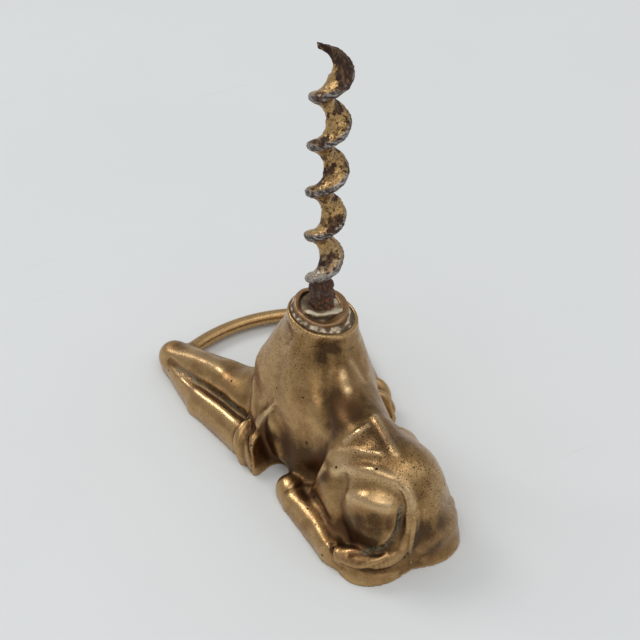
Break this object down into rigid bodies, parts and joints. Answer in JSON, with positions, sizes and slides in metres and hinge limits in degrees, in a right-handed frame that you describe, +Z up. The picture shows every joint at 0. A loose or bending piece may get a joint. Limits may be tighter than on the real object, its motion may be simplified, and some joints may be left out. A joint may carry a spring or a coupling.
{
  "type": "direct-pull corkscrew",
  "caption": "Direct-pull corkscrew: a cast lying hoofed animal without a head is the handle, with a bladed worm standing in its neck and a bottle-opener bar across its knees.",
  "frame": {"origin": "where the worm's axis meets the plane that the base rests on", "axes": "+Z up along the worm, +X towards the animal's knees and opener bar, +Y to its left side"},
  "size_m": [0.0949, 0.0508, 0.1067],
  "materials": {
    "cast_brass": "satin, worn, with dark patina in its hollows",
    "collar_brass": "turned, dull brown patina",
    "solder": "dull and pitted",
    "worm_steel": "worn steel with a brassy tone and rust patches",
    "bar_brass": "smooth satin",
    "braze": "dull satin"
  },
  "bodies": {
    "root": {"body_casting": "cast_brass", "neck_collar": "collar_brass", "collar_solder": "solder", "worm": "worm_steel", "worm_solder": "solder", "opener_bar": "bar_brass", "bar_braze_left": "braze", "bar_braze_right": "braze"}
  },
  "joints": []
}
